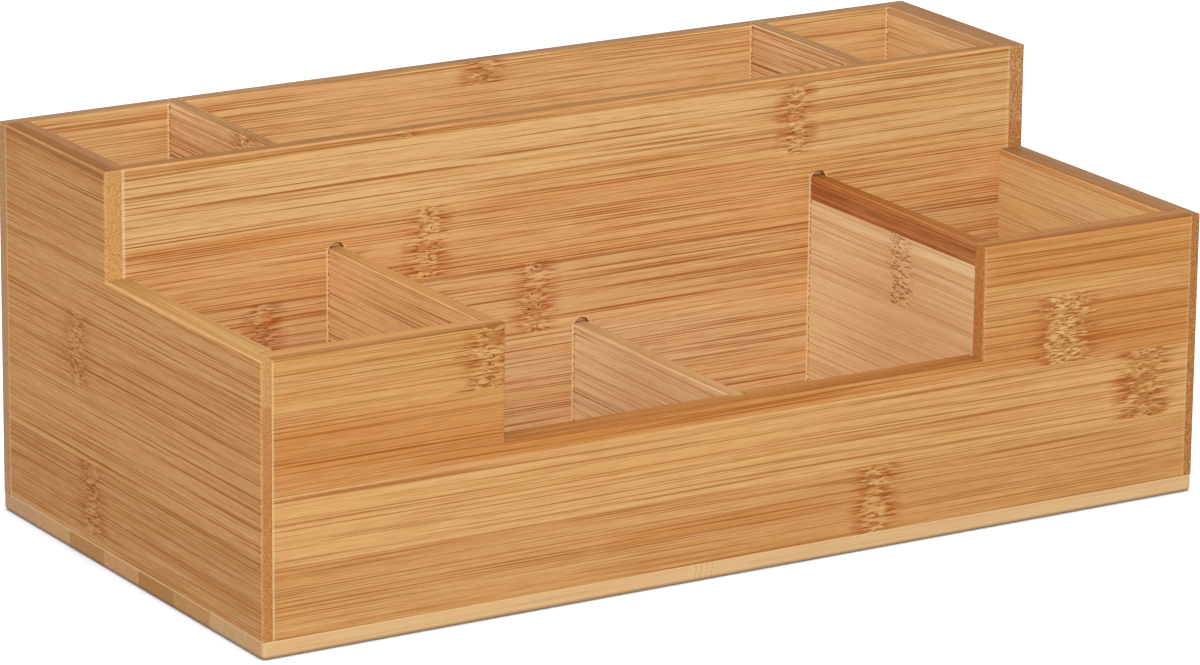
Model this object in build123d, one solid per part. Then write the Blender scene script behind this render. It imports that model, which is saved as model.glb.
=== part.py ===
from build123d import *

import math
import os

# Open desk organizer of bamboo board: grooved walls on a base of edge-glued strips.
# Millimetres. The origin is the centre of the footprint on the underside.
# +X runs along the length, -Y faces the user and +Z is up.

# Overall shape
length = 360.0
depth = 182.0
rear_height = 134.5  # sides behind the step, back panel, middle wall and rear dividers
front_height = 98.0  # sides before the step, ends of the front panel, outer front dividers
cutout_height = 59.0  # low stretch of the front panel, and the middle front divider
cutout_inset = 88.0  # from each end of the organizer to the cut-out
step_depth = 105.0  # from the front to the step in the sides
end_bay_width = 52.0  # clear width of the rear bay at each end

# Boards
base_thickness = 6.0
lamella_width = 24.5  # strips that the base is glued up from
side_thickness = 9.5
front_thickness = 9.0
wall_thickness = 5.5
back_thickness = 5.5
divider_thickness = 5.5
cap_height = 8.0  # carbonised strip along the top of the right front divider

# Joints
side_lip = 3.5  # side board left standing beside the end of the front panel
side_cheek = 6.0  # side board left outside the end of the middle wall
front_groove = 3.2  # how deep the front panel is grooved for the dividers
wall_groove = 2.0  # how deep the middle wall and the back panel are grooved
joint_clearance = 0.1  # between a housed board and the walls of its groove

# Edges
arris_radius = 1.0  # sanded edges of the boards
foot_radius = 1.5  # lower edges and corners of the base
seam_radius = 0.5  # upper edge of the base, along the foot of the walls

# Planes that the boards share
left, right = -length / 2, length / 2
front, rear = -depth / 2, depth / 2
floor = base_thickness
front_inner = front + front_thickness
step = front + step_depth
wall_rear = step + wall_thickness
back_inner = rear - back_thickness
cutout_left, cutout_right = left + cutout_inset, right - cutout_inset
end_bay_edge = side_thickness + end_bay_width


def block(x, y, z):
    """A box between two values on each axis."""
    size = (x[1] - x[0], y[1] - y[0], z[1] - z[0])
    middle = ((x[0] + x[1]) / 2, (y[0] + y[1]) / 2, (z[0] + z[1]) / 2)
    return Pos(*middle) * Box(*size)


def edges_at(board, axis, *heights):
    """The edges of a board that run along an axis at the given heights."""
    along = board.edges().filter_by(axis)
    return [e for h in heights for e in along.filter_by_position(Axis.Z, h, h)]


def uprights(board, start, end, axis=Axis.X):
    """The vertical edges of a board that lie between two values on an axis."""
    return board.edges().filter_by(Axis.Z).filter_by_position(axis, start, end)


def groove(x, y, top):
    """The hollow for a divider that stands at x, from the base up to a height."""
    return block((x[0] - joint_clearance, x[1] + joint_clearance), y, (floor, top))


def stopped_groove(x, y, top):
    """A groove that ends in the round of its cutter, just above the divider in it."""
    centre_height = top - arris_radius
    radius = (x[1] - x[0]) / 2 + joint_clearance
    cutter = Rot(90, 0, 0) * Cylinder(radius, y[1] - y[0])
    middle = ((x[0] + x[1]) / 2, (y[0] + y[1]) / 2, centre_height)
    return groove(x, y, centre_height) + Pos(*middle) * cutter


def divider_at(start):
    """The X span of a divider whose left face is at start."""
    return (start, start + divider_thickness)


front_dividers = {
    "left": (divider_at(cutout_left - divider_thickness), front_height),
    "middle": (divider_at(-divider_thickness / 2), cutout_height),
    "right": (divider_at(cutout_right), front_height),
}
rear_dividers = {
    "left": divider_at(left + end_bay_edge),
    "right": divider_at(right - end_bay_edge - divider_thickness),
}


def make_left_side():
    """The stepped end board, rebated for the front panel and housed for the middle wall."""
    outline = Polyline(
        (front, floor),
        (front, front_height),
        (step, front_height),
        (step, rear_height),
        (back_inner, rear_height),
        (back_inner, floor),
        close=True,
    )
    board = Pos(left, 0, 0) * extrude(Plane.YZ * make_face(outline), side_thickness)
    outer_corners = board.faces().sort_by(Axis.X)[0].edges()
    sanded = edges_at(board, Axis.Y, front_height, rear_height)
    sanded += outer_corners.filter_by(Axis.Z).filter_by_position(Axis.Y, front, step)
    board = fillet(sanded, arris_radius)
    inner = left + side_thickness
    rebate = (left + side_lip, inner), (front, front_inner + joint_clearance)
    housing = (left + side_cheek, inner), (step, wall_rear + joint_clearance)
    board -= block(*rebate, (floor, front_height))
    return board - block(*housing, (floor, rear_height))


def make_front_panel():
    """The front board, high at both ends and low in the middle."""
    start, end = left + side_lip + joint_clearance, right - side_lip - joint_clearance
    outline = Polyline(
        (start, floor),
        (start, front_height),
        (cutout_left, front_height),
        (cutout_left, cutout_height),
        (cutout_right, cutout_height),
        (cutout_right, front_height),
        (end, front_height),
        (end, floor),
        close=True,
    )
    board = Pos(0, front_inner, 0) * extrude(Plane.XZ * make_face(outline), front_thickness)
    sanded = edges_at(board, Axis.X, front_height, cutout_height)
    sanded += uprights(board, cutout_left, cutout_right)
    board = fillet(sanded, arris_radius)
    for x, top in front_dividers.values():
        board -= groove(x, (front_inner - front_groove, front_inner), top)
    return board


def make_middle_wall():
    """The tall wall at the step, grooved on both faces."""
    start, end = left + side_cheek + joint_clearance, right - side_cheek - joint_clearance
    board = block((start, end), (step, wall_rear), (floor, rear_height))
    board = fillet(edges_at(board, Axis.X, rear_height), arris_radius)
    for x, top in front_dividers.values():
        board -= stopped_groove(x, (step, step + wall_groove), top)
    for x in rear_dividers.values():
        board -= groove(x, (wall_rear - wall_groove, wall_rear), rear_height)
    return board


def make_back_panel():
    """The full-length board that laps over the rear ends of the sides."""
    board = block((left, right), (back_inner, rear), (floor, rear_height))
    sanded = edges_at(board, Axis.X, rear_height) + edges_at(board, Axis.Y, rear_height)
    sanded += uprights(board, rear, rear, Axis.Y)
    board = fillet(sanded, arris_radius)
    for x in rear_dividers.values():
        board -= groove(x, (back_inner, back_inner + wall_groove), rear_height)
    return board


def make_divider(x, y, top):
    """A thin board on the base, housed at both ends, with its top edges sanded round."""
    board = block(x, (y[0] + joint_clearance, y[1] - joint_clearance), (floor, top))
    return fillet(edges_at(board, Axis.Y, top), arris_radius)


def make_front_divider(x, top):
    return make_divider(x, (front_inner - front_groove, step + wall_groove), top)


def make_rear_divider(x):
    return make_divider(x, (wall_rear - wall_groove, back_inner + wall_groove), rear_height)


def split_cap(divider):
    """Parts a front divider into its lower board and the strip glued along its top."""
    seam = front_height - cap_height
    cap_space = block((left, right), (front, rear), (seam, front_height))
    return divider - cap_space, divider & cap_space


def make_base_strips():
    """The base, as its lamellas from the front. The front one is what is left of the depth."""
    board = block((left, right), (front, rear), (0, floor))
    corners = board.edges().filter_by(Axis.Z) + board.faces().sort_by(Axis.Z)[0].edges()
    board = fillet(corners, foot_radius)
    board = fillet(board.faces().sort_by(Axis.Z)[-1].edges(), seam_radius)
    strips = []
    for i in range(math.ceil(depth / lamella_width)):
        far = rear - i * lamella_width
        near = max(far - lamella_width, front)
        strips.insert(0, board & block((left, right), (near, far), (0, floor)))
    return strips


def make_nodes():
    """Every piece by its node's name."""
    nodes = {
        "left_side": make_left_side(),
        "right_side": mirror(make_left_side(), Plane.YZ),
        "front_panel": make_front_panel(),
        "middle_wall": make_middle_wall(),
        "back_panel": make_back_panel(),
    }
    for place, (x, top) in front_dividers.items():
        nodes[f"front_divider_{place}"] = make_front_divider(x, top)
    board, cap = split_cap(nodes["front_divider_right"])
    nodes["front_divider_right"] = board
    nodes["front_divider_right_cap"] = cap
    for place, x in rear_dividers.items():
        nodes[f"rear_divider_{place}"] = make_rear_divider(x)
    for number, strip in enumerate(make_base_strips(), 1):
        nodes[f"base_strip_{number}"] = strip
    return nodes


os.makedirs("parts", exist_ok=True)
for name, shape in make_nodes().items():
    export_step(shape, f"parts/{name}.step")
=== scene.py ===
import math

import bmesh
import bpy
import mathutils
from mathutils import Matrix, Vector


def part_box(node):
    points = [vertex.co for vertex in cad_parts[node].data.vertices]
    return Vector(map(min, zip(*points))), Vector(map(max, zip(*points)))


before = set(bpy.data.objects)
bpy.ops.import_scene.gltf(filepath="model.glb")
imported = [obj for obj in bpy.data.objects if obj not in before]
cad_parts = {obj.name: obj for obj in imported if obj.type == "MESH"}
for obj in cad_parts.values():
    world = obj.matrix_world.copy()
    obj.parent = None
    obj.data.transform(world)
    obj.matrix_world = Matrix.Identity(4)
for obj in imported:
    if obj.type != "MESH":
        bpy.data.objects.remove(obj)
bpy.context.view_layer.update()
print("frame loaded:", len(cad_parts), "boards")

mmPerMetre = 1000.0


def toLinear(hexColour):
    # sRGB hex to the linear values that Blender works in
    values = [int(hexColour[i:i + 2], 16) / 255 for i in (1, 3, 5)]
    linear = [v / 12.92 if v <= 0.04045 else ((v + 0.055) / 1.055) ** 2.4 for v in values]
    return (*linear, 1.0)


def addNode(tree, kind, *inputs, **settings):
    # fills the node's inputs in order, None to skip one, and gives back its first output
    node = tree.nodes.new("ShaderNode" + kind)
    for key, value in settings.items():
        setattr(node, key, value)
    sockets = [socket for socket in node.inputs if socket.enabled]
    for socket, value in zip(sockets, inputs):
        if isinstance(value, bpy.types.NodeSocket):
            tree.links.new(value, socket)
        elif value is not None:
            socket.default_value = value
    return next(socket for socket in node.outputs if socket.enabled)


# Studio: a white table, a large soft box at the camera's side and a pale room

camera = {
    "lens": 195.84,  # on a 36 mm sensor
    "place": (-1.10347, -1.79715, 0.66694),
    "azimuth": -31.52,
    "elevation": 16.085,
    "roll": 0.554,
    "farthest": 50.0,  # that it still sees
}

floor = {"halfWidth": 9.0, "colour": "#D0D3DA", "roughness": 0.8}

tableLight = {"strength": 3.6, "angle": 6.0}  # straight down, and only on the table

softBox = {
    "size": (2.4, 1.8),
    "distance": 2.8,
    "azimuth": -32.0,
    "elevation": 38.0,
    "power": 46.0,
    "colour": "#FFFCF6",
}

room = {"below": 0.34, "walls": 0.46, "ceiling": 1.5, "horizon": 1.0, "bandTop": 0.1}


def aim(azimuth, elevation, roll=0.0):
    # rotation of a camera or lamp that looks along +Y at azimuth 0, and down by its elevation
    turn = mathutils.Matrix.Rotation(math.radians(azimuth), 3, "Z")
    tilt = mathutils.Matrix.Rotation(math.radians(90 - elevation), 3, "X")
    spin = mathutils.Matrix.Rotation(math.radians(roll), 3, "Z")
    return turn @ tilt @ spin


def placeCamera():
    data = bpy.data.cameras.new("camera")
    data.lens = camera["lens"]
    data.clip_end = camera["farthest"]
    obj = bpy.data.objects.new("camera", data)
    turned = aim(camera["azimuth"], camera["elevation"], camera["roll"])
    obj.matrix_world = mathutils.Matrix.Translation(camera["place"]) @ turned.to_4x4()
    bpy.context.scene.collection.objects.link(obj)
    bpy.context.scene.camera = obj


def layFloor():
    data = bpy.data.meshes.new("floor")
    top = bmesh.new()
    bmesh.ops.create_grid(top, x_segments=1, y_segments=1, size=floor["halfWidth"])
    top.to_mesh(data)
    top.free()
    obj = bpy.data.objects.new("floor", data)
    bpy.context.scene.collection.objects.link(obj)
    material = bpy.data.materials.new("white laminate table")  # even and matt
    material.use_nodes = True
    shader = material.node_tree.nodes["Principled BSDF"]
    shader.inputs["Base Color"].default_value = toLinear(floor["colour"])
    shader.inputs["Roughness"].default_value = floor["roughness"]
    data.materials.append(material)
    obj.visible_diffuse = False  # the room lights the boards from below, not the table
    obj.visible_glossy = False
    return obj


def lightOnly(lamp, name, receivers):
    # a lamp that reaches only these objects
    group = bpy.data.collections.new(name)
    for obj in receivers:
        group.objects.link(obj)
    lamp.light_linking.receiver_collection = group


def lightStudio(table, boards):
    sun = bpy.data.lights.new("table light", "SUN")
    sun.energy = tableLight["strength"]
    sun.angle = math.radians(tableLight["angle"])
    sunLamp = bpy.data.objects.new("table light", sun)
    bpy.context.scene.collection.objects.link(sunLamp)
    lightOnly(sunLamp, "lit from above", [table])

    box = bpy.data.lights.new("soft box", "AREA")
    box.shape = "RECTANGLE"
    box.size, box.size_y = softBox["size"]
    box.energy = softBox["power"]
    box.color = toLinear(softBox["colour"])[:3]
    boxLamp = bpy.data.objects.new("soft box", box)
    turned = aim(softBox["azimuth"], softBox["elevation"])
    away = turned @ mathutils.Vector((0, 0, softBox["distance"]))
    boxLamp.matrix_world = mathutils.Matrix.Translation(away) @ turned.to_4x4()
    bpy.context.scene.collection.objects.link(boxLamp)
    lightOnly(boxLamp, "lit from the front", boards)


def fillRoom():
    # paler overhead than at the walls, with a white band at the height of the table
    world = bpy.data.worlds.new("room")
    bpy.context.scene.world = world
    world.use_nodes = True
    tree = world.node_tree
    look = addNode(tree, "TexCoord").node.outputs["Generated"]
    height = addNode(tree, "SeparateXYZ", look).node.outputs["Z"]
    above = addNode(tree, "MapRange", height, 0.0, 1.0, room["walls"], room["ceiling"])
    band = addNode(tree, "MapRange", height, 0.0, room["bandTop"], room["horizon"], 0.0)
    sky = addNode(tree, "Math", above, band, operation="MAXIMUM")
    isSky = addNode(tree, "Math", height, 0.0, operation="GREATER_THAN")
    strength = addNode(tree, "Mix", isSky, room["below"], sky, data_type="FLOAT")
    tree.links.new(strength, tree.nodes["Background"].inputs["Strength"])
    tree.nodes["Background"].inputs["Color"].default_value = (1, 1, 1, 1)


boardObjects = dict(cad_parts)
placeCamera()
table = layFloor()
lightStudio(table, list(boardObjects.values()))
fillRoom()
bpy.context.scene.view_settings.view_transform = "Standard"  # colours come out as they are named
print("studio ready")

# Bamboo board: strips of moso bamboo glued edge to edge, sanded and given a satin lacquer.
# The eye gets thin brown fibres on an even straw tone, a change of tone at each glue line, and,
# where the stalk had a node, a ragged golden column of cream flecks, dark pores and brown smears.

grain = {  # mm along and across the fibres, octaves, and how much the finer octaves count
    "fibres": (120.0, 0.85, 2.0, 0.6),
    "hairs": (100.0, 0.46, 1.0, 0.55),  # single bundles of fibres, about half a millimetre apart
    "threads": (11.0, 0.42, 1.0, 0.55),  # short ends of such bundles
    "streaks": (200.0, 2.8, 2.0, 0.55),
    "bands": (400.0, 9.0, 1.0, 0.55),
    "blushes": (34.0, 2.6, 1.0, 0.55),
    "endFibres": (200.0, 0.48, 1.0, 0.55),  # the bundles again, seen on cut ends
    "dashes": (3.2, 0.56, 1.0, 0.55),
    "tongues": (14.0, 0.62, 1.0, 0.55),
    "patches": (7.0, 1.9, 1.0, 0.55),
}

growth = {  # mm
    "wave": (130.0, 30.0),  # length and width of the slow waves in the fibres
    "waveHeight": 1.6,
    "stripShift": 171.3,  # along the fibres, so that no strip repeats its neighbour
    "stripDepth": 23.7,  # and through them
    "boardShift": 37.1,  # for each step of a board's seed
    "speckle": 1.25,  # of the rubbed upright arrises
    "crowding": 0.2,  # how much the dark lines crowd together in streaks
    "lineLevels": (0.60, 0.77),
}

coats = {  # colour, the levels of a pattern where it starts to show and shows fully, strength
    "band": ("#E2B878", 0.42, 0.66, 0.36),
    "streak": ("#C9843F", 0.50, 0.70, 0.36),
    "blush": ("#D99868", 0.50, 0.66, 0.36),
    "lightFibre": ("#EBC690", 0.52, 0.66, 0.20),
    "darkFibre": ("#BA7A3A", 0.48, 0.34, 0.24),
    "lightThread": ("#EBC690", 0.52, 0.68, 0.22),
    "darkThread": ("#BA7A3A", 0.48, 0.32, 0.30),
    "line": ("#A25E28", 0.0, 1.0, 0.80),
    "smearWash": ("#C9843F", 0.0, 1.0, 0.55),
    "smearLine": ("#A85E26", 0.46, 0.56, 0.80),
    "knotBrown": ("#A85E26", 0.50, 0.62, 0.60),
    "knotTongue": ("#A04414", 0.50, 0.56, 0.90),
    "knotGold": ("#DDB06C", 0.0, 1.0, 0.35),
    "knotDash": ("#96501E", 0.47, 0.40, 0.74),
    "knotFleck": ("#F0CC92", 0.52, 0.62, 0.75),
    "rippleBrown": ("#C9843F", 0.2, 0.9, 0.24),
    "ripplePale": ("#F0CC92", -0.3, -0.9, 0.24),
    # painted light on a groove's floor, against the shade inside the groove
    "grooveFloorLight": ("#FFD0A0", 0.0, 1.0, 0.9),
    "grooveDot": ("#7A4A22", 0.46, 0.54, 0.75),
    "endDot": ("#8A5424", 0.46, 0.62, 1.0),
    "endLight": ("#F0D2A0", 0.42, 0.32, 0.5),
    "topStreak": ("#70400C", 0.46, 0.56, 0.28),
    "topFibre": ("#D0A068", 0.50, 0.62, 0.15),
    "topStart": ("#D0A068", 90.0, 80.0, 1.0),  # mm from the start of the board
    # painted shade on the upper arrises, and more on the high side's
    "upperArrisShade": ("#6E4420", 0.30, 0.50, 1.0),
    "outerArrisShade": ("#6E4420", 0.25, 0.50, 1.0),
}

facing = {  # how squarely a face looks: from where it isn't one of these to where it fully is
    "end": (0.55, 0.85),
    "top": (0.6, 0.9),
    "side": (0.8, 0.95),
    "arris": (0.985, 0.85),
    "upright": (0.45, 0.1),
    "upper": (0.15, 0.4),
}

satin = {
    "ior": 1.46,
    "specular": 0.05,  # under a real lacquer's, because the white room would turn the rims grey
    "roughness": (0.40, 0.56),
    "fibreLevels": (0.3, 0.7),  # of the fibres, where it is smoothest and roughest
    "bump": 0.10,
    "bumpDepth": 0.0004,
}

smooth = {"interpolation_type": "SMOOTHSTEP"}


def boxInMm(name):
    return [[edge * mmPerMetre for edge in corner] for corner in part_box(name)]


def boardSpace(tree, name, board):
    # millimetres along, across and through the board, the way a face looks, and the strip
    place = addNode(tree, "TexCoord").node
    inMm = addNode(tree, "VectorMath", place.outputs["Object"], operation="SCALE")
    inMm.node.inputs["Scale"].default_value = mmPerMetre
    split = addNode(tree, "SeparateXYZ", inMm).node
    normal = addNode(tree, "SeparateXYZ", place.outputs["Normal"]).node
    space = dict(zip(("along", "across", "through"), (split.outputs[a] for a in board["axes"])))
    for key, axis in zip(("faceAlong", "faceAcross", "faceThrough"), board["axes"]):
        space[key] = addNode(tree, "Math", normal.outputs[axis], operation="ABSOLUTE")
    space["outward"] = normal.outputs[board["axes"][2]]
    space["faceUp"] = normal.outputs["Z"]
    space["height"] = split.outputs["Z"]
    space["inMm"] = inMm
    above = addNode(tree, "Math", space["across"], board["seam"], operation="SUBTRACT")
    count = addNode(tree, "Math", above, board["width"], operation="DIVIDE")
    space["strip"] = addNode(tree, "Math", count, operation="FLOOR")
    low, high = boxInMm(name)
    length, thickness = ("XYZ".index(board["axes"][i]) for i in (0, 2))
    space["fromStart"] = addNode(tree, "Math", space["along"], low[length], operation="SUBTRACT")
    space["toEnd"] = addNode(tree, "Math", high[length], space["along"], operation="SUBTRACT")
    space["low"] = addNode(tree, "Math", space["through"], low[thickness], operation="SUBTRACT")
    space["high"] = addNode(tree, "Math", high[thickness], space["through"], operation="SUBTRACT")
    return space


def bendGrain(tree, space, board):
    # the space that fibres grow in: it wanders a little, and jumps from strip to strip
    slow = addNode(tree, "Math", space["along"], growth["wave"][0], operation="DIVIDE")
    wide = addNode(tree, "Math", space["across"], growth["wave"][1], operation="DIVIDE")
    own = addNode(tree, "Math", space["strip"], float(board["seed"]), operation="ADD")
    wave = addNode(tree, "TexNoise", addNode(tree, "CombineXYZ", slow, wide, own), 1.0, 1.0)
    bent = addNode(tree, "Math", wave, growth["waveHeight"], space["across"], operation="MULTIPLY_ADD")
    start = board["seed"] * growth["boardShift"]
    shift = addNode(tree, "Math", space["strip"], growth["stripShift"], start, operation="MULTIPLY_ADD")
    slid = addNode(tree, "Math", space["along"], shift, operation="ADD")
    depth = addNode(tree, "Math", space["strip"], growth["stripDepth"], space["through"],
                    operation="MULTIPLY_ADD")
    return addNode(tree, "CombineXYZ", slid, bent, depth)


def growPatterns(tree, space, board):
    # each pattern is noise drawn out along the grain
    bent = bendGrain(tree, space, board)
    patterns = {"bent": bent}
    for name, (along, across, octaves, finer) in grain.items():
        squeeze = (1 / along, 1 / across, 1 / across)
        scaled = addNode(tree, "VectorMath", bent, squeeze, operation="MULTIPLY")
        patterns[name] = addNode(tree, "TexNoise", scaled, 1.0, octaves, finer)
    patterns["speckle"] = addNode(tree, "TexNoise", space["inMm"], 1 / growth["speckle"], 1.0)
    crowded = addNode(tree, "Math", patterns["streaks"], growth["crowding"], patterns["hairs"],
                      operation="MULTIPLY_ADD")
    patterns["lines"] = addNode(tree, "MapRange", crowded, *growth["lineLevels"], 0.0, 1.0, **smooth)
    return patterns


def stripTones(tree, strip, tones):
    middle = addNode(tree, "Math", strip, 0.5, operation="ADD")
    share = addNode(tree, "Math", middle, float(len(tones)), operation="DIVIDE")
    ramp = addNode(tree, "ValToRGB", share)
    stops = ramp.node.color_ramp.elements
    ramp.node.color_ramp.interpolation = "CONSTANT"
    while len(stops) > 1:
        stops.remove(stops[-1])
    for i, tone in enumerate(tones):
        stop = stops.new(i / len(tones)) if i else stops[0]
        stop.position = i / len(tones)
        stop.color = toLinear(tone)
    return ramp


def layOver(tree, colour, layers):
    # a layer is a coat, the pattern that it follows, how much of it, and the places that it keeps to
    for (over, zero, one, strength), pattern, share, *places in layers:
        shown = addNode(tree, "MapRange", pattern, zero, one, 0.0, strength * share, **smooth)
        for place in places:
            shown = addNode(tree, "Math", shown, place, operation="MULTIPLY")
        colour = addNode(tree, "Mix", shown, colour, toLinear(over), data_type="RGBA")
    return colour


knot = {  # mm, or shares of its half width
    "wander": 4.0,  # how far its column strays along the grain
    "wanderHeight": 7.0,  # from one bend of the column to the next
    "fringe": 2.6,  # how ragged its edge is, as a share
    "fringeHeight": 1.1,  # of one tooth of the edge
    "fringeLength": 30.0,  # both change slowly along the grain
    "edge": (1.2, 0.8),  # from outside to inside, as shares
    "reach": 7.0,  # how far the brown tongues run out
    "linesLeft": 0.15,  # how much of the board's lines its core keeps
    "tonguesLeft": 0.3,
    "flecksLeft": 0.2,  # where a brown patch covers the flecks
    "patchLevels": (0.60, 0.40),  # of the patches, from brown to clean
    "poreColour": "#6E2C08",
    "poreEdge": (1.35, 0.8),  # radii
    "poreStrength": 0.80,
}


def findKnots(tree, space, board):
    # ragged zones round each knot: its core, its gold, its pores, and where brown tongues run in
    zones = {"core": 0.0, "gold": 0.0, "pores": 0.0, "brown": 0.0}
    slow = addNode(tree, "Math", space["along"], knot["fringeLength"], operation="DIVIDE")
    ragged = []
    for height, own, octaves in ((knot["fringeHeight"], 0.0, 2.0), (knot["wanderHeight"], 0.5, 1.0)):
        rows = addNode(tree, "Math", space["across"], height, operation="DIVIDE")
        spot = addNode(tree, "CombineXYZ", slow, rows, board["seed"] + own)
        noise = addNode(tree, "TexNoise", spot, 1.0, octaves)
        ragged.append(addNode(tree, "Math", noise, 0.5, operation="SUBTRACT"))
    fringe, wander = ragged
    for place, row, halfWidth, gold, brown, pores in board["knots"]:
        inRow = addNode(tree, "Math", space["strip"], float(row), 0.1, operation="COMPARE")
        away = addNode(tree, "Math", space["along"], place, operation="SUBTRACT")
        away = addNode(tree, "Math", wander, knot["wander"], away, operation="MULTIPLY_ADD")
        away = addNode(tree, "Math", away, operation="ABSOLUTE")
        away = addNode(tree, "Math", fringe, knot["fringe"] * halfWidth, away, operation="MULTIPLY_ADD")
        edge = [halfWidth * share for share in knot["edge"]]
        core = addNode(tree, "MapRange", away, *edge, 0.0, 1.0, **smooth)
        core = addNode(tree, "Math", core, inRow, operation="MULTIPLY")
        near = addNode(tree, "MapRange", away, halfWidth + knot["reach"], halfWidth, 0.0, 1.0)
        near = addNode(tree, "Math", near, inRow, operation="MULTIPLY")
        zones["core"] = addNode(tree, "Math", core, zones["core"], operation="MAXIMUM")
        for key, zone, share in (("gold", core, gold), ("pores", core, pores), ("brown", near, brown)):
            zones[key] = addNode(tree, "Math", zone, share, zones[key], operation="MULTIPLY_ADD")
    return zones


def drawKnots(tree, patterns, zones, board, colour):
    spacing, radius = board["pores"]
    spread = addNode(tree, "VectorMath", patterns["bent"], (1 / spacing,) * 3, operation="MULTIPLY")
    pores = addNode(tree, "TexVoronoi", spread, 1.0, voronoi_dimensions="2D")
    poreEdge = [radius / spacing * share for share in knot["poreEdge"]]
    pore = (knot["poreColour"], *poreEdge, knot["poreStrength"])
    patches = patterns["patches"]
    outside = addNode(tree, "MapRange", zones["core"], 0.0, 1.0, 1.0, knot["tonguesLeft"])
    clean = addNode(tree, "MapRange", patches, *knot["patchLevels"], knot["flecksLeft"], 1.0)
    return layOver(tree, colour, [
        (coats["knotBrown"], patches, 1.0, zones["brown"]),
        (coats["knotTongue"], patterns["tongues"], 1.0, zones["brown"], outside),
        (coats["knotGold"], zones["gold"], 1.0),
        (coats["knotDash"], patterns["dashes"], 1.0, zones["core"]),
        (coats["knotFleck"], patterns["dashes"], 1.0, zones["gold"], clean),
        (pore, pores, 1.0, zones["pores"]),
    ])


smear = {
    "sway": 3.0,  # how far it follows the streaks, in half widths
    "edge": (1.5, 0.2),  # from outside to inside, in half widths
    "fadeIn": 20.0,  # mm
    "fadeOut": 50.0,
}


def drawSmears(tree, space, patterns, board, colour):
    # dark stretches: a brown wash, and the lines in it darker still
    for start, end, height, halfWidth, wash, dark in board["smears"]:
        middle = height - halfWidth * smear["sway"] / 2
        off = addNode(tree, "Math", space["across"], middle, operation="SUBTRACT")
        off = addNode(tree, "Math", patterns["streaks"], -halfWidth * smear["sway"], off,
                      operation="MULTIPLY_ADD")
        off = addNode(tree, "Math", off, operation="ABSOLUTE")
        fullFrom, fullTo = start + smear["fadeIn"], end - smear["fadeOut"]
        left = addNode(tree, "MapRange", space["along"], start, fullFrom, 0.0, 1.0, **smooth)
        right = addNode(tree, "MapRange", space["along"], end, fullTo, 0.0, 1.0, **smooth)
        edge = [halfWidth * share for share in smear["edge"]]
        within = addNode(tree, "MapRange", off, *edge, 0.0, 1.0, **smooth)
        colour = layOver(tree, colour, [
            (coats["smearWash"], within, wash, left, right),
            (coats["smearLine"], patterns["hairs"], dark, within, left, right),
        ])
    return colour


ripple = {  # mm
    "turn": 3.0,  # radians to the millimetre, so a wave is about 2 mm long
    "bend": 4.0,  # how far the waves follow the streaks
    "fade": 0.6,
}


def drawRipples(tree, space, patterns, board, colour):
    for place, halfWidth in board["ripples"]:
        off = addNode(tree, "Math", space["along"], place, operation="SUBTRACT")
        bent = addNode(tree, "Math", patterns["streaks"], ripple["bend"], off, operation="MULTIPLY_ADD")
        turned = addNode(tree, "Math", bent, ripple["turn"], operation="MULTIPLY")
        wave = addNode(tree, "Math", turned, operation="SINE")
        off = addNode(tree, "Math", off, operation="ABSOLUTE")
        edge = (halfWidth + ripple["fade"], halfWidth - ripple["fade"])
        within = addNode(tree, "MapRange", off, *edge, 0.0, 1.0, **smooth)
        colour = layOver(tree, colour, [
            (coats["rippleBrown"], wave, 1.0, within),
            (coats["ripplePale"], wave, 1.0, within),
        ])
    return colour


groove = {  # mm
    "sunk": (0.3, 0.6),  # how deep its floor begins
    "top": (1.0, -1.0),  # its marks fade in from above its top to below
    "facing": 0.9,  # how squarely a face looks out for the marks to be on it
    # the pale line beside what enters is a painted highlight
    "highlightAndPale": "#F0D2A0",
    "highlightEdge": (1.3, 0.8),  # past the side of what enters
    "highlightStrength": 0.75,
    "dotEdge": (0.6, 0.35),
    "dotHeight": 1.5,  # from dot to dot
}


def drawGrooves(tree, space, board, colour):
    # the corner where another board enters: painted light on the groove's floor against its shade, a
    # pale painted highlight line beside the entering board, and the cut fibres as dots
    rows = addNode(tree, "Math", space["height"], groove["dotHeight"], operation="DIVIDE")
    dots = addNode(tree, "TexNoise", addNode(tree, "CombineXYZ", None, None, rows), 1.0, 1.0)
    for entering, side in board["grooves"].items():
        (left, _, _), (right, _, top) = boxInMm(entering)
        middle, half = (left + right) / 2, (right - left) / 2
        outward = addNode(tree, "Math", space["outward"], side, operation="MULTIPLY")
        deep = space["high" if side > 0 else "low"]
        sunk = addNode(tree, "MapRange", deep, *groove["sunk"], 0.0, 1.0)
        topEdge = [top + past for past in groove["top"]]
        below = addNode(tree, "MapRange", space["height"], *topEdge, 0.0, 1.0)
        onFace = addNode(tree, "Math", outward, groove["facing"], operation="GREATER_THAN")
        onFace = addNode(tree, "Math", onFace, below, operation="MULTIPLY")
        off = addNode(tree, "Math", space["along"], middle, operation="SUBTRACT")
        off = addNode(tree, "Math", off, operation="ABSOLUTE")
        highlightEdge = [half + past for past in groove["highlightEdge"]]
        highlightAndPale = (groove["highlightAndPale"], *highlightEdge, groove["highlightStrength"])
        dotEdge = [half + past for past in groove["dotEdge"]]
        atEdge = addNode(tree, "MapRange", off, *dotEdge, 0.0, 1.0, **smooth)
        colour = layOver(tree, colour, [
            (coats["grooveFloorLight"], sunk, 1.0, outward),
            (highlightAndPale, off, 1.0, onFace),
            (coats["grooveDot"], dots, 1.0, onFace, atEdge),
        ])
    return colour


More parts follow.
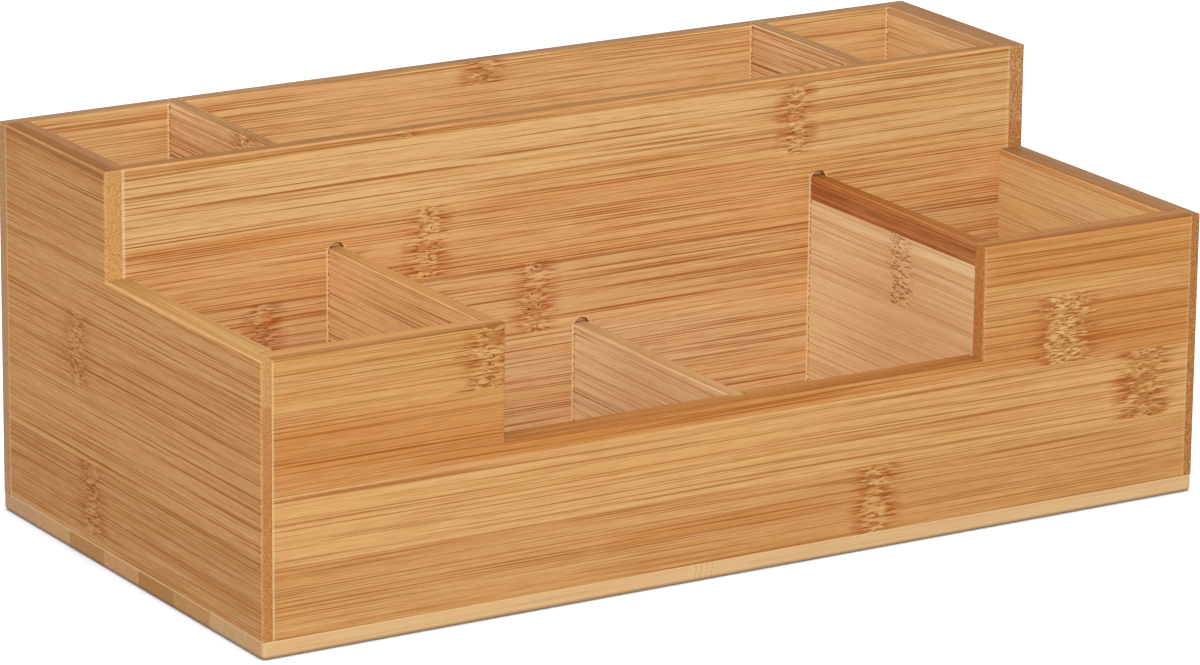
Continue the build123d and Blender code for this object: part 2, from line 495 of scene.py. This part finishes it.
def paintGrain(tree, space, patterns, board):
    # the strips' tones under bands, fibres, smears, lines and knots
    lines, broad = board["lines"], board["broad"]
    colour = stripTones(tree, space["strip"], board["tones"])
    colour = layOver(tree, colour, [
        (coats["band"], patterns["bands"], broad),
        (coats["streak"], patterns["streaks"], broad),
        (coats["blush"], patterns["blushes"], broad),
        (coats["lightFibre"], patterns["fibres"], lines),
        (coats["darkFibre"], patterns["fibres"], lines),
        (coats["lightThread"], patterns["threads"], lines),
        (coats["darkThread"], patterns["threads"], lines),
    ])
    colour = drawSmears(tree, space, patterns, board, colour)
    zones = findKnots(tree, space, board)
    clear = addNode(tree, "MapRange", zones["core"], 0.0, 1.0, 1.0, knot["linesLeft"])
    colour = layOver(tree, colour, [(coats["line"], patterns["lines"], lines, clear)])
    colour = drawKnots(tree, patterns, zones, board, colour)
    colour = drawRipples(tree, space, patterns, board, colour)
    return drawGrooves(tree, space, board, colour)


def paintEnds(tree, space, patterns, board, colour):
    # cut ends show the fibres as dots
    ends = stripTones(tree, space["strip"], board["endTones"])
    ends = layOver(tree, ends, [
        (coats["endDot"], patterns["endFibres"], board["endDots"]),
        (coats["endLight"], patterns["endFibres"], board["endDots"]),
    ])
    onEnd = addNode(tree, "MapRange", space["faceAlong"], *facing["end"], 0.0, 1.0, **smooth)
    return addNode(tree, "Mix", onEnd, colour, ends, data_type="RGBA")


topShade = {"colour": "#70400C", "fade": 0.4}  # mm


def paintTops(tree, space, patterns, board, colour):
    # tops are calmer and browner: partly the strips' edge tone, partly painted shade; with more painted
    # shade along the low side
    amount, width, lowest = board["shade"]
    above = addNode(tree, "Math", space["height"], lowest, operation="GREATER_THAN")
    shade = (topShade["colour"], width + topShade["fade"], width - topShade["fade"], 1.0)
    tops = layOver(tree, stripTones(tree, space["strip"], board["tops"]), [
        (coats["topStreak"], patterns["streaks"], 1.0),
        (coats["topFibre"], patterns["fibres"], 1.0),
        (coats["topStart"], space["fromStart"], board["startLight"]),
        (shade, space["low"], amount, above),
    ])
    onTop = addNode(tree, "MapRange", space["faceUp"], *facing["top"], 0.0, board["calm"], **smooth)
    return addNode(tree, "Mix", onTop, colour, tops, data_type="RGBA")


pale = {  # levels between which the painted highlight colour shows, and its strength
    "upright": (0.35, 0.60, 1.0),
    "upper": (0.34, 0.54, 1.0),
    "line": (0.5, 0.25, 1.0),  # mm from the middle of the line
    "endLineFade": 0.7,  # as a share of its width
}


def paintArrisLightAndShade(tree, space, patterns, board, colour):
    # painted highlights and painted shade on the rounded arrises: pale upright and upper arrises, dark
    # upper arrises and darker still on the high side; pale painted highlight lines down the ends of a
    # side, and pale level lines along it
    flat = addNode(tree, "Math", space["faceAlong"], space["faceAcross"], operation="MAXIMUM")
    flat = addNode(tree, "Math", flat, space["faceThrough"], operation="MAXIMUM")
    arris = addNode(tree, "MapRange", flat, *facing["arris"], 0.0, 1.0, **smooth)
    level = addNode(tree, "Math", space["faceUp"], operation="ABSOLUTE")
    upright = addNode(tree, "MapRange", level, *facing["upright"], 0.0, 1.0, **smooth)
    upper = addNode(tree, "MapRange", space["faceUp"], *facing["upper"], 0.0, 1.0, **smooth)
    onSide = addNode(tree, "MapRange", space["faceThrough"], *facing["side"], 0.0, 1.0, **smooth)
    highlightAndPale = board["highlightAndPale"]
    atStart, atEnd, width = board["paleEnds"]
    endLine = (highlightAndPale, width, width * pale["endLineFade"], 1.0)
    colour = layOver(tree, colour, [
        ((highlightAndPale, *pale["upright"]), patterns["speckle"], board["upright"], arris, upright),
        ((highlightAndPale, *pale["upper"]), patterns["fibres"], board["upperHighlight"], arris, upper),
        (coats["upperArrisShade"], patterns["fibres"], board["upper"], arris, upper),
        (coats["outerArrisShade"], space["outward"], board["outer"], arris, upper),
        (endLine, space["fromStart"], atStart, onSide),
        (endLine, space["toEnd"], atEnd, onSide),
    ])
    for height, amount in board["paleLines"]:
        off = addNode(tree, "Math", space["height"], height, operation="SUBTRACT")
        off = addNode(tree, "Math", off, operation="ABSOLUTE")
        colour = layOver(tree, colour, [((highlightAndPale, *pale["line"]), off, amount, onSide)])
    return colour


def lacquer(tree, patterns, colour):
    # rougher on the light fibres, and sunk a little along the dark lines
    shader = tree.nodes["Principled BSDF"]
    rough = addNode(tree, "MapRange", patterns["fibres"], *satin["fibreLevels"], *satin["roughness"])
    bump = addNode(tree, "Bump", invert=True).node
    bump.inputs["Strength"].default_value = satin["bump"]
    bump.inputs["Distance"].default_value = satin["bumpDepth"]
    tree.links.new(patterns["lines"], bump.inputs["Height"])
    tree.links.new(bump.outputs["Normal"], shader.inputs["Normal"])
    tree.links.new(colour, shader.inputs["Base Color"])
    tree.links.new(rough, shader.inputs["Roughness"])
    shader.inputs["IOR"].default_value = satin["ior"]
    shader.inputs["Specular IOR Level"].default_value = satin["specular"]


def dress(name, ownSettings, kind="bamboo board"):
    board = {**usual, **ownSettings}
    material = bpy.data.materials.new(f"{kind}, satin lacquer, {name}")
    material.use_nodes = True
    tree = material.node_tree
    space = boardSpace(tree, name, board)
    patterns = growPatterns(tree, space, board)
    colour = paintGrain(tree, space, patterns, board)
    colour = paintEnds(tree, space, patterns, board, colour)
    colour = paintTops(tree, space, patterns, board, colour)
    colour = paintArrisLightAndShade(tree, space, patterns, board, colour)
    lacquer(tree, patterns, colour)
    for slot in boardObjects[name].material_slots:
        slot.material = material


usual = {  # what a board has if its own settings don't say otherwise, lengths in mm
    "width": 24.5,  # of the strips
    "lines": 1.0,  # how strongly the fibres show
    "broad": 1.0,  # and the bands, streaks and blushes
    "endTones": ["#C07F44"],  # tones of the strips where they are cut across
    "endDots": 0.4,  # how strongly the fibres show there
    "tops": ["#7E5526"],  # tones of the strips on faces that look up, darker partly as painted shade
    "calm": 0.85,  # how far these cover the grain
    "startLight": 0.0,  # how much lighter the start of a top is
    "shade": (0.0, 1.0, 0.0),  # painted shade along the low side of a top: how dark, how wide, above which height
    "highlightAndPale": "#F0D2A0",  # colour of the painted highlights on the arrises and of the pale lines
    "upright": 0.15,  # how strong the painted highlight on the upright arrises is
    "upperHighlight": 0.0,  # and on the upper ones
    "upper": 0.3,  # painted shade on the upper ones: how dark
    "outer": 0.0,  # and more painted shade there on the board's high side alone, which faces away from the light
    "paleEnds": (0.0, 0.0, 1.0),  # painted highlight lines down both ends of a side: how pale each is, their width
    "paleLines": [],  # level lines on a side: height, how pale
    "knots": [],  # place along the grain, strip, half width, how golden, how brown, how porous
    "pores": (4.6, 0.36),  # from pore to pore in a knot, and their radius
    "smears": [],  # start, end, height across, half width, how brown, how dark the lines in it
    "ripples": [],  # faint waves at a node: place along the grain, half width
    "grooves": {},  # what stands in or against it, on its low side, -1, or its high side, 1
}

# axes: along the grain, across it and through the board. seam: where strip 0 starts.
# tones: of strip 0 and those after it. The back panel's and dividers' tones are paler than the outer
# boards', partly their own tone and partly painted light against the shade inside the bays.

boards = {
    "front_panel": {
        "axes": "XZY", "seam": 5.6, "width": 23.9, "seed": 3, "lines": 0.85, "broad": 0.8,
        "tones": ["#D0965A", "#DFAB6C", "#D09050", "#D69E5C"],
        "tops": ["#915C2B"], "startLight": 0.35, "upper": 0.7, "shade": (0.55, 3.2, 90.0),
        "paleEnds": (0.5, 0.15, 0.9),
        "pores": (5.5, 0.36),
        "knots": [
            (-98.0, 3, 5.0, 0.3, 1.0, 1.0), (50.0, 0, 4.6, 0.5, 1.0, 0.3),
            (125.5, 2, 7.4, 0.9, 0.8, 0.7), (158.5, 1, 6.4, 0.2, 1.0, 0.2),
        ],
        "smears": [
            (-200.0, -40.0, 62.0, 2.6, 0.8, 1.0), (-130.0, 60.0, 56.5, 1.8, 0.7, 0.9),
            (-60.0, 45.0, 19.0, 2.6, 0.8, 0.8), (85.0, 230.0, 88.0, 6.0, 0.9, 0.45),
            (115.0, 230.0, 60.5, 2.6, 0.6, 0.7), (130.0, 230.0, 71.0, 2.6, 0.4, 0.5),
            (-230.0, -10.0, 66.0, 9.0, 0.45, 0.0), (95.0, 260.0, 66.0, 9.0, 0.35, 0.0),
            (60.0, 150.0, 39.0, 5.0, 0.35, 0.25), (80.0, 260.0, 96.6, 1.0, 1.0, 0.5),
        ],
    },
    "middle_wall": {
        "axes": "XZY", "seam": 9.1, "seed": 11, "lines": 1.05, "broad": 0.7,
        "tones": ["#D8B586", "#D8B586", "#D4AB7A", "#D6A66D", "#DEB880", "#C8945C"],
        "tops": ["#855924"], "upperHighlight": 0.1, "upper": 0.1, "paleEnds": (0.5, 0.2, 1.4),
        "knots": [
            (-60.3, 3, 3.2, 0.5, 1.0, 1.0), (-18.7, 2, 3.6, 0.3, 0.9, 1.0),
            (-69.0, 5, 2.6, 0.3, 0.8, 0.3), (85.0, 4, 2.8, 0.5, 1.0, 0.7),
            (-122.0, 2, 2.6, 0.3, 1.0, 0.3),
        ],
        "smears": [
            (-50.0, 100.0, 108.0, 9.0, 0.45, 0.45), (-180.0, -60.0, 104.0, 2.5, 0.7, 0.5),
            (60.0, 230.0, 120.0, 8.0, 0.35, 0.3),
        ],
        "grooves": {  # the cap stands at the top of the right front groove
            "front_divider_left": -1.0, "front_divider_middle": -1.0, "front_divider_right_cap": -1.0,
            "rear_divider_left": 1.0, "rear_divider_right": 1.0,
        },
    },
    "back_panel": {
        "axes": "XZY", "seam": 3.5, "seed": 23, "lines": 0.9,
        "tones": ["#DEB57E"] * 6, "endTones": ["#C5966C"],
        "tops": ["#7A5A3C"], "upper": 0.5, "outer": 0.6,
        "knots": [(2.6, 5, 4.2, 0.4, 0.9, 0.3)],
        "grooves": {
            "left_side": -1.0, "rear_divider_left": -1.0, "rear_divider_right": -1.0, "right_side": -1.0,
        },
    },
    "left_side": {
        "axes": "YZX", "seam": 9.0, "seed": 31, "broad": 0.3,
        "tones": ["#C48C58", "#D09760", "#CF945C", "#D39B62", "#C88F56", "#A67040"],
        "endTones": ["#C6864E", "#C6864E", "#C98B52", "#D4A062", "#D4A062", "#D4A062"],
        "tops": ["#AA8351"] * 4 + ["#8B5E31"] * 2, "upperHighlight": 0.12, "upper": 0.0,
        # the level line at 6 mm is a painted highlight where the side sits on the base
        "shade": (0.75, 4.6, 120.0), "paleEnds": (0.25, 0.4, 0.8), "paleLines": [(6.0, 0.8)],
        "knots": [(35.0, 2, 4.6, 0.25, 0.5, 0.0), (25.5, 0, 4.8, 0.3, 0.65, 0.0)],
    },
    # its upper strips are paler, partly painted light against the shade in the rear bay
    "right_side": {
        "axes": "YZX", "seam": 9.0, "seed": 43, "lines": 0.6, "broad": 0.6,
        "tones": ["#DEB276", "#DEB276", "#E6BF84", "#E3BC87", "#E8BE88", "#BE9167"],
        "endTones": ["#BC8048"] * 4 + ["#C7915C"] * 2, "endDots": 0.6,
        "tops": ["#754D29"] * 4 + ["#7E5833"] * 2, "outer": 0.8,
        "knots": [(-20.0, 1, 3.4, 0.4, 0.8, 0.5), (50.0, 2, 3.4, 0.4, 0.8, 0.5)],
        "smears": [(-200.0, 60.0, 96.6, 1.4, 0.8, 0.2)],
    },
    "front_divider_left": {
        "axes": "YZX", "seam": 0.0, "seed": 53, "lines": 0.9, "broad": 0.3,
        "tones": ["#F2C792"] * 5, "tops": ["#9F6E38"],
        "smears": [(-220.0, 10.0, 80.0, 60.0, 0.6, 0.0)],
    },
    "front_divider_middle": {
        "axes": "YZX", "seam": 0.0, "seed": 61, "lines": 0.8, "broad": 0.3,
        "tones": ["#F0DEBA"] * 5, "tops": ["#A17646"],
        "smears": [(-220.0, 10.0, 40.0, 60.0, 0.7, 0.0)],
    },
    "front_divider_right": {
        "axes": "YZX", "seam": -8.0, "seed": 71, "lines": 0.5, "broad": 0.3,
        "tones": ["#EED4A8"] * 5,
        "knots": [(-38.6, 3, 2.4, 0.1, 0.1, 1.0), (-43.6, 3, 4.2, 0.1, 0.15, 0.4)],
        "pores": (1.6, 0.22),
        "smears": [(-220.0, 10.0, 50.0, 60.0, 0.7, 0.0)],
    },
    "rear_divider_left": {
        "axes": "YZX", "seam": 6.0, "seed": 83, "tones": ["#EEC795"] * 6,
        "knots": [(33.0, 5, 5.0, 0.3, 0.9, 0.3)],
        "smears": [(-220.0, 90.0, 110.0, 60.0, 0.45, 0.0)],
    },
    "rear_divider_right": {
        "axes": "YZX", "seam": 6.0, "seed": 97, "broad": 0.4, "tones": ["#E3B98A"] * 6,
    },
}

for name, board in boards.items():
    dress(name, board)
print("boards dressed")

oneStrip = {"seam": -500.0, "width": 1000.0}  # the whole piece is one strip

baseStrip = {
    **oneStrip, "axes": "XYZ", "lines": 0.22, "broad": 0.3,
    "endDots": 0.2, "calm": 0.0, "upper": 0.0,
}

baseTones = [  # from the front
    "#E2BA88", "#D1A97B", "#C5935F", "#B6824F", "#CF9A6D", "#BB8856", "#CDA171", "#C89F7A",
]

foremost = {"endTones": ["#D4A576"], "ripples": [(-16.5, 4.5)]}

for i, tone in enumerate(baseTones, start=1):
    ownSeed = 101 + 7 * i  # any number that no other piece has
    strip = {**baseStrip, "seed": ownSeed, "tones": [tone], "endTones": [tone]}
    if i == 1:
        strip.update(foremost)
    dress(f"base_strip_{i}", strip)
print("base dressed")

# carbonised bamboo: the same strips steamed to a brown tea colour
cap = {
    **oneStrip, "axes": "YZX", "seed": 211, "lines": 0.6, "broad": 0.5,
    "tones": ["#8F401A"], "endTones": ["#8A4C24"], "tops": ["#8D5420"],
    "highlightAndPale": "#D09058", "upperHighlight": 0.25, "upper": 0.0,
    "paleLines": [(91.8, 0.5), (95.6, 0.4), (96.8, 0.5)],
}

dress("front_divider_right_cap", cap, "carbonised bamboo")
print("cap dressed")
